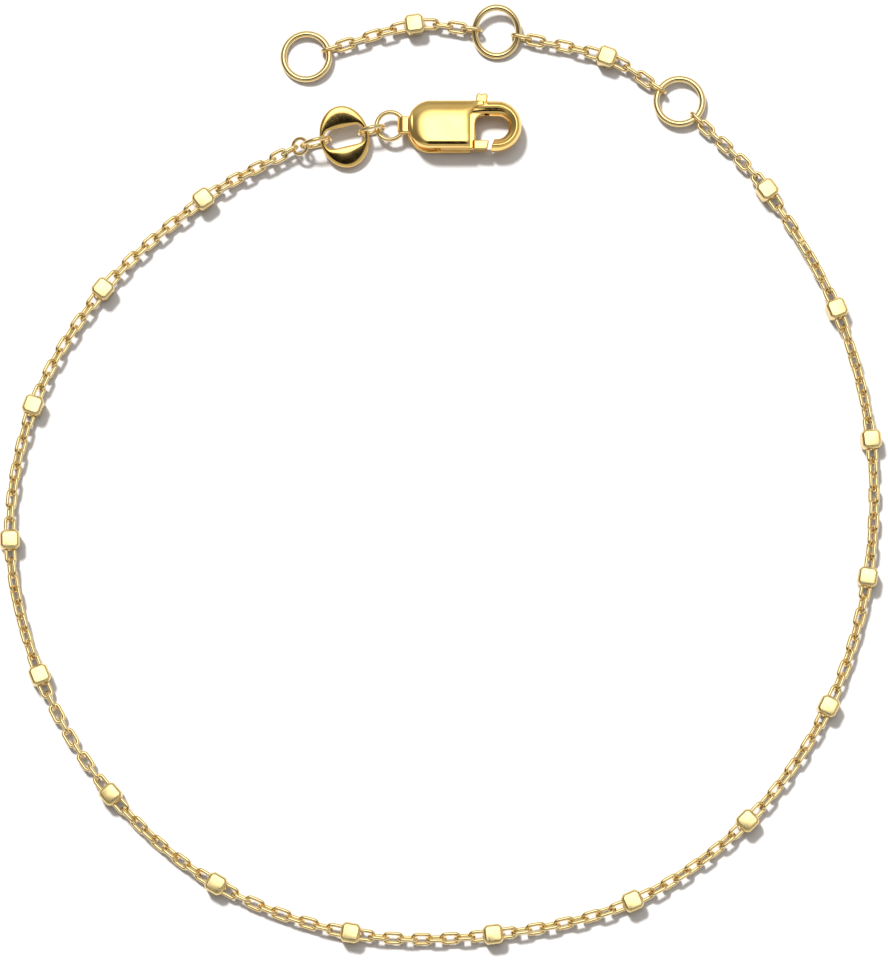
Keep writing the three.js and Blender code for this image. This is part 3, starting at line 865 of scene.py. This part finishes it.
def body_profile(flange, sole_steps=10, dome_steps=26):
    """(height, inset from the flange's edge) from the underside to the top."""
    profile = []
    for turn in np.linspace(0, math.pi / 2, sole_steps):
        height = SOLE_HEIGHT * (1 - math.cos(turn))
        profile.append((height, SOLE_INSET * (1 - math.sin(turn))))
    profile += [(SEAM_LOW + up, inwards) for up, inwards in LIP]

    def rounded(reach):
        return (1 - reach**CUSHION_POWER) ** (1 / CUSHION_POWER)

    rise = CLASP_THICKNESS - SEAM_HIGH + SKIRT
    top = rounded(1 - DOME_INSET / CLASP_HALF_WIDTH)
    for t in np.linspace(0, 1, dome_steps):
        inset = DOME_INSET * t**DOME_CROWDING
        height = SEAM_HIGH - SKIRT + rise * rounded(1 - inset / CLASP_HALF_WIDTH) / top
        profile.append((height, flange + inset))
    return profile


def body_cushion():
    """The body: a domed upper half on a lower half that stands out a little all round."""
    clasp = bpy.context.scene.bracelet_clasp
    length, flange = clasp.body_length / MM, clasp.flange / MM
    half_width = CLASP_HALF_WIDTH + flange
    loops = []
    for height, inset in body_profile(flange):
        radii = [max(r + flange - inset, LEAST_RADIUS) for r in (TAIL_RADIUS, NOSE_RADIUS)]
        ends = (inset - flange, length + flange - inset)
        outline = rounded_rectangle(*ends, half_width - inset, *radii)
        loops.append(level(outline, height))
    return loft(loops)


def bay_cutter():
    outline = [(BAY_LEFT, -FAR), (FAR, -FAR), (FAR, BAY_TOP)]
    outline += arc(*BAY_MIDDLE, BAY_RADIUS, BAY_RADIUS, 90, 90, steps=12)
    return slab(outline, THROUGH)


def slot_cutter():
    return slab(SLOT_SOUTH + SLOT_NORTH, SLOT_HEIGHT)


def seam_cutter():
    """The open seam that runs from the lever's heel round the tail's lower corner."""
    bend = arc(*SEAM_BEND, steps=8)
    outline = [(SEAM_START, -FAR), (SEAM_START, bend[0][1]), *bend]
    outline += [(-FAR, bend[-1][1]), (-FAR, -FAR)]
    return slab(outline, SEAM_HEIGHT, SEAM_LOW + SEAM_GAP + SEAM_HEIGHT / 2)


def hook_line(root_steps=16, bend_steps=40, tip_steps=8):
    """The opening's edge from inside the body to the tip: point, way out, width and height."""
    clasp = bpy.context.scene.bracelet_clasp
    root, bend, full = clasp.bar_root / MM, clasp.bar_bend / MM, clasp.bar_height / MM
    line = []

    def add(middle, turn, radius, width, height):
        out = np.array([math.cos(turn), math.sin(turn), 0.0])
        line.append((np.array([*middle, CLASP_MIDDLE]) + radius * out, out, width, height))

    for x in np.linspace(HOOK_START, HOOK_TURN, root_steps):
        add((x, 0.0), math.pi / 2, CLASP_HALF_WIDTH - root, root, full)
    for t in np.linspace(0, 1, bend_steps)[1:]:
        width = root + (bend - root) * eased(min(1.0, 2 * t))
        drop = HOOK_DROP * eased(t)
        add((HOOK_TURN, -drop), math.pi * (0.5 - t), CLASP_HALF_WIDTH - width, width, full)
    for x in np.linspace(HOOK_TURN, HOOK_TIP - HOOK_SPARE, tip_steps)[1:]:
        add((x, -HOOK_DROP), -math.pi / 2, CLASP_HALF_WIDTH - bend, bend, full)
    return line


def hook_bar(around=64):
    """The hook: a thick rounded bar round the opening, a little thicker on its outer side."""
    turns = np.linspace(0, 2 * math.pi, around, endpoint=False)
    outwards = 0.5 + 0.5 * squared(np.cos(turns), HOOK_SQUARENESS)
    up = squared(np.sin(turns), HOOK_SQUARENESS)
    ledge = LEDGE * (1 - np.clip((LEDGE_SHARE - outwards) / LEDGE_EDGE, 0, 1))
    loops = []
    for edge, out, width, height in hook_line():
        rise = up * (height / 2 + ledge)
        loops.append(edge + np.outer(outwards, out * width) + np.outer(rise, [0.0, 0.0, 1.0]))
    return loft(loops)


def beyond_tip():
    """What is cut off the hook's spare end, at a slant."""
    slant = math.radians(-HOOK_SLANT)
    corners = np.array([(-2, -1), (0, -1), (0, 1), (-2, 1)], float)
    cos, sin = math.cos(slant), math.sin(slant)
    turned = corners @ np.array([[cos, sin], [-sin, cos]])
    middle = np.array([HOOK_TIP, -CLASP_HALF_WIDTH + TIP_MIDDLE])
    return slab(turned + middle, THROUGH)


def eye_block(half_steps=10):
    """The loop at the clasp's tail, before the ring's way through is cut."""
    loops = []
    for step in range(-half_steps, half_steps + 1):
        turn = step / half_steps * math.pi / 2
        inset = 1 - math.cos(turn)
        half_width = EYE_HALF_WIDTH - EYE_NARROWING * inset
        ends = (EYE_X - EYE_RADIUS + EYE_RADIUS * inset, EYE_END)
        outline = rounded_rectangle(*ends, half_width, EYE_CORNER, LEAST_RADIUS)
        loops.append(level(outline, EYE_Z + EYE_RADIUS * math.sin(turn)))
    return loft(loops)


def ring_way(origin):
    """The clasp ring with some play, which the eye leaves free."""
    ring = Ring("clasp_ring")
    ring.wire += EYE_PLAY
    mesh = new_mesh("way", *torus(ring, around=64, across=20))
    mesh.transform(Matrix.Translation(-origin) @ ring.matrix())
    outward(mesh)
    return mesh


def pin_hole(thickness):
    return slab(arc(*PIVOT, PIN_RADIUS, PIN_RADIUS, 0, 360, 32)[:-1], thickness)


def shape_top(mesh):
    """Slopes the clasp's top to one side, and brings the body down to its tail and its bay."""
    clasp = bpy.context.scene.bracelet_clasp
    points = vertices_of(mesh)
    x, y, z = points.T
    rise = z - CLASP_MIDDLE
    bay_x, bay_y = BAY_MIDDLE
    from_corner = np.hypot(np.minimum(x - bay_x, 0), np.maximum(y - bay_y, 0)) - BAY_RADIUS
    from_bay = np.where(y < bay_y, BAY_LEFT - x, from_corner)
    on_body = (from_bay > -BAY_STRAY) & (x < bay_x) & (x > 0)
    near = np.clip(1 - from_bay / SHELF_LENGTH, 0, 1) ** 2
    tail = np.clip(1 - x / TAIL_LENGTH, 0, 1) ** 2 * (x > -TAIL_STRAY)
    lower = np.where(on_body, clasp.shelf * near + clasp.tail * tail, 0.0) / MM
    lower *= np.clip((np.abs(rise) - STILL_HEIGHT) / (CLASP_MIDDLE - STILL_HEIGHT), 0, 1)
    nose = eased(np.clip((x - NOSE_START) / (NOSE_END - NOSE_START), 0, 1))
    lower += nose * np.maximum(np.abs(rise) - clasp.bar_height / MM / 2 - LEDGE, 0)
    slope = math.tan(clasp.slope) * (y - CREST)
    slope += SHOULDER * np.maximum(y - SHOULDER_START, 0) ** 2
    slope *= np.clip(rise / (CLASP_MIDDLE - SLOPE_DEPTH), 0, 1)
    slope *= np.clip((x - SLOPE_START) / SLOPE_RUN, 0, 1)
    slope *= 1 - NOSE_LEVELLING * nose
    points[:, 2] = z - np.sign(rise) * lower - np.maximum(slope, -SLOPE_LIFT)
    set_vertices(mesh, points)


def lever_outline():
    """The lever from its heel along the arm, round the thumb tab and back past the pin."""
    neck = (OPENING_LEFT, OPENING_TOP - NECK_BEND)
    outline = [*ARM, neck, *curve(neck, (OPENING_LEFT, OPENING_TOP), (NECK_END, OPENING_TOP))]
    outline.append(TAB_START)
    for middle in LOBES:
        lobe = (middle, LOBE_Y, LOBE_RADIUS, LOBE_RADIUS)
        outline += arc(*lobe, (180 - LOBE_SWEEP) / 2, LOBE_SWEEP, steps=12)
        outline.append((middle - LOBE_RADIUS, NOTCH_Y))
    return [*outline, TAB_END, BACK[0], *curve(*BACK), HEEL]


def clasp_origin():
    low, high = box_of("clasp_body")
    return Vector((low.x - EYE_X + EYE_RADIUS, (low.y + high.y) / 2, low.z))


class BRACELET_OT_clasp_body(bpy.types.Operator):
    """Casts the clasp's body with its hook and the eye at its tail"""

    bl_idname = "bracelet.clasp_body"
    bl_label = "Clasp body"

    def execute(self, context):
        origin = clasp_origin()
        holder = in_scene(body_cushion())
        combine(holder, bay_cutter())
        combine(holder, seam_cutter())
        for shape, cutter in ((eye_block(), ring_way(origin)), (hook_bar(), beyond_tip())):
            part = in_scene(shape)
            combine(part, cutter)
            combine(holder, taken_from(part), "UNION")
        combine(holder, slot_cutter())
        combine(holder, pin_hole(CLASP_THICKNESS - 2 * PIN_COVER))
        cast(holder, context.scene.bracelet_clasp.voxel / MM, passes=8)
        mesh = taken_from(holder)
        shape_top(mesh)
        place = Matrix.Translation(origin)
        finish_piece("clasp_body_cast", mesh, place, "clasp_body", "polished_gold")
        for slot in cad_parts["clasp_pin"].material_slots:
            slot.material = gold("polished_gold")
        return {"FINISHED"}


class BRACELET_OT_clasp_lever(bpy.types.Operator):
    """Casts the clasp's lever: its gate, arm and thumb tab"""

    bl_idname = "bracelet.clasp_lever"
    bl_label = "Clasp lever"

    def execute(self, context):
        holder = in_scene(slab(lever_outline(), LEVER_THICKNESS))
        combine(holder, slab(GATE, GATE_THICKNESS), "UNION")
        combine(holder, pin_hole(CLASP_THICKNESS))
        cast(holder, context.scene.bracelet_clasp.voxel / MM * LEVER_GRAIN, passes=12)
        mesh, place = taken_from(holder), Matrix.Translation(clasp_origin())
        finish_piece("clasp_lever_cast", mesh, place, "clasp_lever", "polished_gold", "lever")
        return {"FINISHED"}


# ---- Stage ----

TABLE_MOTTLE, TABLE_GRAIN = 0.985, 12.0  # darker patches' share of the colour, and their scale
KEY_FROM = Vector((-0.45, 0.78, 1.35))
KEY_WIDTH = 9  # degrees across, which softens its shadows
SKY_STOPS = [(0.0, 0.34), (0.3, 0.44), (0.6, 0.6), (0.8, 0.5), (0.92, 0.36), (1.0, 0.32)]
# Patches of the sky: heading and height, then how far off the soft edge ends and starts.
GLOW_PLACE, GLOW_EDGES = (90, 76), (29, 3)
SHADE_PLACE, SHADE_EDGES, SHADE_LEVEL = (180, 35), (50, 14), 0.35
HOOD_PLACE, HOOD_EDGE, HOOD_LEVEL = (270, 69), 2, 0.01


def table_material(base):
    material = bpy.data.materials.new("Pale table")
    nodes, links = nodes_of(material)
    shader = nodes["Principled BSDF"]
    shader.inputs["Roughness"].default_value = 0.9
    shader.inputs["Specular IOR Level"].default_value = 0.1
    tone = ramp(nodes, [(0.0, [part * TABLE_MOTTLE for part in base]), (1.0, base)])
    noise = nodes.new("ShaderNodeTexNoise")
    noise.inputs["Scale"].default_value = TABLE_GRAIN
    links.new(noise.outputs["Fac"], tone.inputs["Fac"])
    links.new(tone.outputs["Color"], shader.inputs["Base Color"])
    return material


def towards(heading, elevation):
    """A direction at a compass heading from +X, counter-clockwise, and a height, in degrees."""
    turn, rise = math.radians(heading), math.radians(elevation)
    reach = math.cos(rise)
    return (reach * math.cos(turn), reach * math.sin(turn), math.sin(rise))


def studio_sky(stage):
    """A soft studio for the gold to mirror: a glow overhead, a shaded side and a dark hood."""
    world = bpy.data.worlds.new("Studio")
    nodes, links = nodes_of(world)
    background = nodes["Background"]
    background.inputs["Strength"].default_value = stage.sky
    place = nodes.new("ShaderNodeTexCoord")

    def grey(stops, source, ease=False):
        node = ramp(nodes, [(position, (value,) * 3) for position, value in stops])
        if ease:
            node.color_ramp.interpolation = "EASE"
        links.new(source, node.inputs["Fac"])
        return node.outputs["Color"]

    def mix(kind, first, second):
        node = nodes.new("ShaderNodeMix")
        node.data_type = "RGBA"
        node.blend_type = kind
        node.inputs["Factor"].default_value = 1.0
        links.new(first, node.inputs["A"])
        links.new(second, node.inputs["B"])
        return node.outputs["Result"]

    def patch(place_in_sky, edges, outside, inside):
        """One value round a place in the sky, and another beyond a soft edge."""
        near = nodes.new("ShaderNodeVectorMath")
        near.operation = "DOT_PRODUCT"
        near.inputs[1].default_value = towards(*place_in_sky)
        links.new(place.outputs["Generated"], near.inputs[0])
        closeness = [math.cos(math.radians(edge)) for edge in edges]
        return grey(zip(closeness, (outside, inside)), near.outputs["Value"], ease=True)

    split = nodes.new("ShaderNodeSeparateXYZ")
    links.new(place.outputs["Generated"], split.inputs["Vector"])
    hood = math.degrees(stage.hood)
    hood_edges = (hood + HOOD_EDGE, hood - HOOD_EDGE)
    light = grey(SKY_STOPS, split.outputs["Z"])
    light = mix("ADD", light, patch(GLOW_PLACE, GLOW_EDGES, 0.0, stage.glow))
    light = mix("MULTIPLY", light, patch(SHADE_PLACE, SHADE_EDGES, 1.0, SHADE_LEVEL))
    light = mix("MULTIPLY", light, patch(HOOD_PLACE, hood_edges, 1.0, HOOD_LEVEL))
    links.new(light, background.inputs["Color"])
    return world


class BRACELET_OT_stage(bpy.types.Operator):
    """Sets the table, the light and the camera"""

    bl_idname = "bracelet.stage"
    bl_label = "Stage"

    def execute(self, context):
        stage = context.scene.bracelet_stage
        half = stage.table_size / 2
        corners = [(-half, -half, 0), (half, -half, 0), (half, half, 0), (-half, half, 0)]
        mesh = new_mesh("Table", corners, [(0, 1, 2, 3)])
        mesh.materials.append(table_material(stage.table))
        in_scene(mesh)

        context.scene.world = studio_sky(stage)
        key = bpy.data.lights.new("Key", "SUN")
        key.energy = stage.key
        key.angle = math.radians(KEY_WIDTH)
        lamp = in_scene(key)
        lamp.visible_glossy = False  # the sky's glow is what the gold mirrors
        lamp.rotation_euler = KEY_FROM.to_track_quat("Z", "Y").to_euler()

        camera = bpy.data.cameras.new("Camera")
        camera.lens = camera.sensor_width * stage.distance / stage.view
        camera.clip_start = 0.01
        camera.clip_end = 20.0
        viewer = in_scene(camera)
        back = Vector((0.0, -math.cos(stage.elevation), math.sin(stage.elevation)))
        viewer.location = Vector(stage.aim) + back * stage.distance
        viewer.rotation_euler = (math.pi / 2 - stage.elevation, 0.0, 0.0)
        context.scene.camera = viewer
        context.scene.view_settings.view_transform = "Standard"
        return {"FINISHED"}


# ---- Panel and registration ----


class BRACELET_PT_sidebar(bpy.types.Panel):
    """Lists the bracelet's pieces and their settings"""

    bl_idname = "BRACELET_PT_sidebar"
    bl_label = "Bracelet"
    bl_space_type = "VIEW_3D"
    bl_region_type = "UI"
    bl_category = "Bracelet"

    def draw(self, context):
        for name, settings, operators in GROUPS:
            box = self.layout.box()
            for operator in operators:
                box.operator(operator.bl_idname)
            for setting in settings.__annotations__:
                box.prop(getattr(context.scene, name), setting)


GROUPS = [
    ("bracelet_stage", StageSettings, (BRACELET_OT_stage,)),
    ("bracelet_finish", FinishSettings, ()),
    ("bracelet_chain", ChainSettings, (BRACELET_OT_rings, BRACELET_OT_chains)),
    ("bracelet_bead", BeadSettings, (BRACELET_OT_beads,)),
    ("bracelet_tag", TagSettings, (BRACELET_OT_tag,)),
    ("bracelet_clasp", ClaspSettings, (BRACELET_OT_clasp_body, BRACELET_OT_clasp_lever)),
]


def register():
    for name, settings, operators in GROUPS:
        bpy.utils.register_class(settings)
        setattr(bpy.types.Scene, name, PointerProperty(type=settings))
        for operator in operators:
            bpy.utils.register_class(operator)
    bpy.utils.register_class(BRACELET_PT_sidebar)


def unregister():
    bpy.utils.unregister_class(BRACELET_PT_sidebar)
    for name, settings, operators in reversed(GROUPS):
        for operator in operators:
            bpy.utils.unregister_class(operator)
        delattr(bpy.types.Scene, name)
        bpy.utils.unregister_class(settings)


def main():
    register()
    bpy.ops.bracelet.stage()
    bpy.ops.bracelet.rings()
    bpy.ops.bracelet.chains()
    bpy.ops.bracelet.beads()
    bpy.ops.bracelet.tag()
    bpy.ops.bracelet.clasp_body()
    bpy.ops.bracelet.clasp_lever()


if __name__ == "__main__":
    main()
